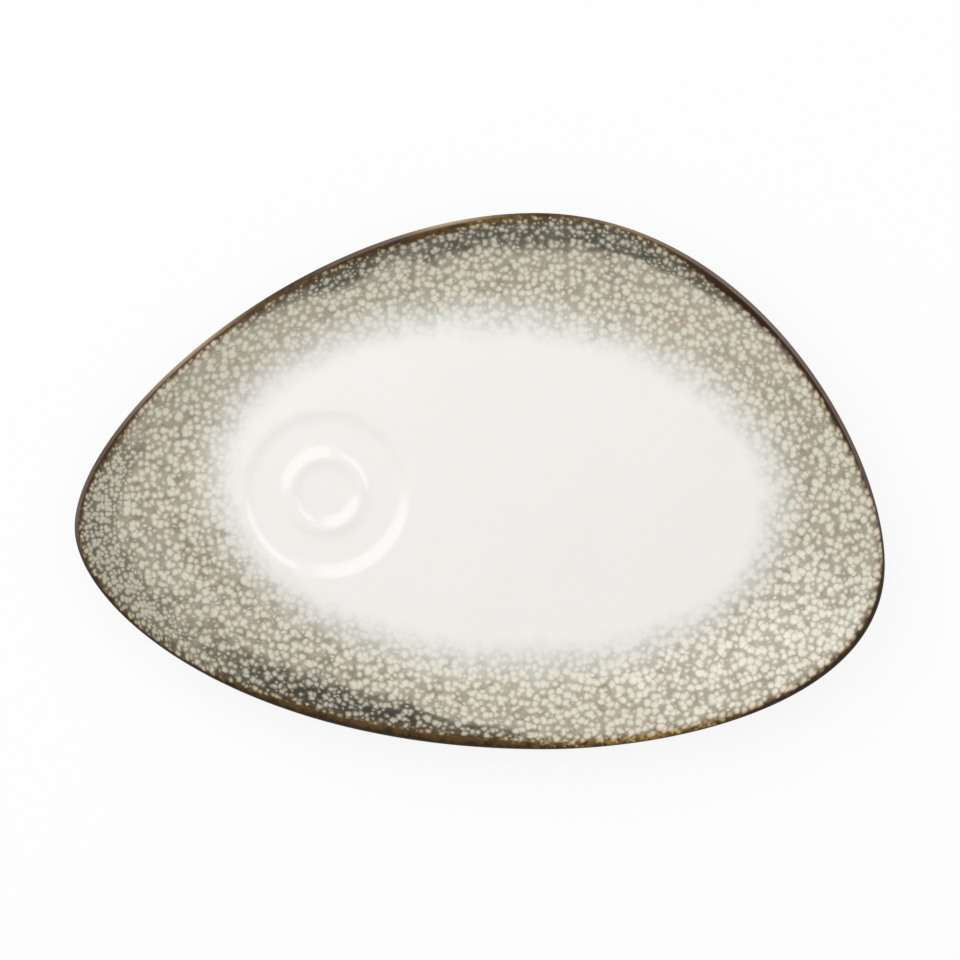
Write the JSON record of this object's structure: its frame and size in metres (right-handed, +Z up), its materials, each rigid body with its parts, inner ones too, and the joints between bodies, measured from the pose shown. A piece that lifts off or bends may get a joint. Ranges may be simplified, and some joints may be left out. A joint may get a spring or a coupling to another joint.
{
  "type": "tea serving plate",
  "caption": "Pebble-shaped porcelain tea plate with a speckled glaze on its curved rim, a dark lip and a shallow round seat that holds a tea glass beside the food.",
  "frame": {"origin": "under the middle of the outline's box, on the surface that the foot stands on", "axes": "+X from the narrow tip to the heel, along the length; +Y from the keel to the shoulder, across the width; +Z up"},
  "size_m": [0.29, 0.1919, 0.022],
  "materials": {
    "porcelain": "bare fired porcelain, matt, showing only on the standing face of the foot",
    "white_glaze": "glossy warm white glaze",
    "speckled_glaze": "glossy reactive glaze, cream speckles on greige with slate patches",
    "iron_glaze": "glossy dark brown glaze that breaks amber",
    "cream_glaze": "glossy cream glaze with brown overspray near the lip"
  },
  "bodies": {
    "root": {"porcelain_body": "porcelain", "well_glaze": "white_glaze", "rim_glaze": "speckled_glaze", "lip_glaze": "iron_glaze", "underside_glaze": "cream_glaze", "base_glaze": "white_glaze"}
  },
  "joints": []
}
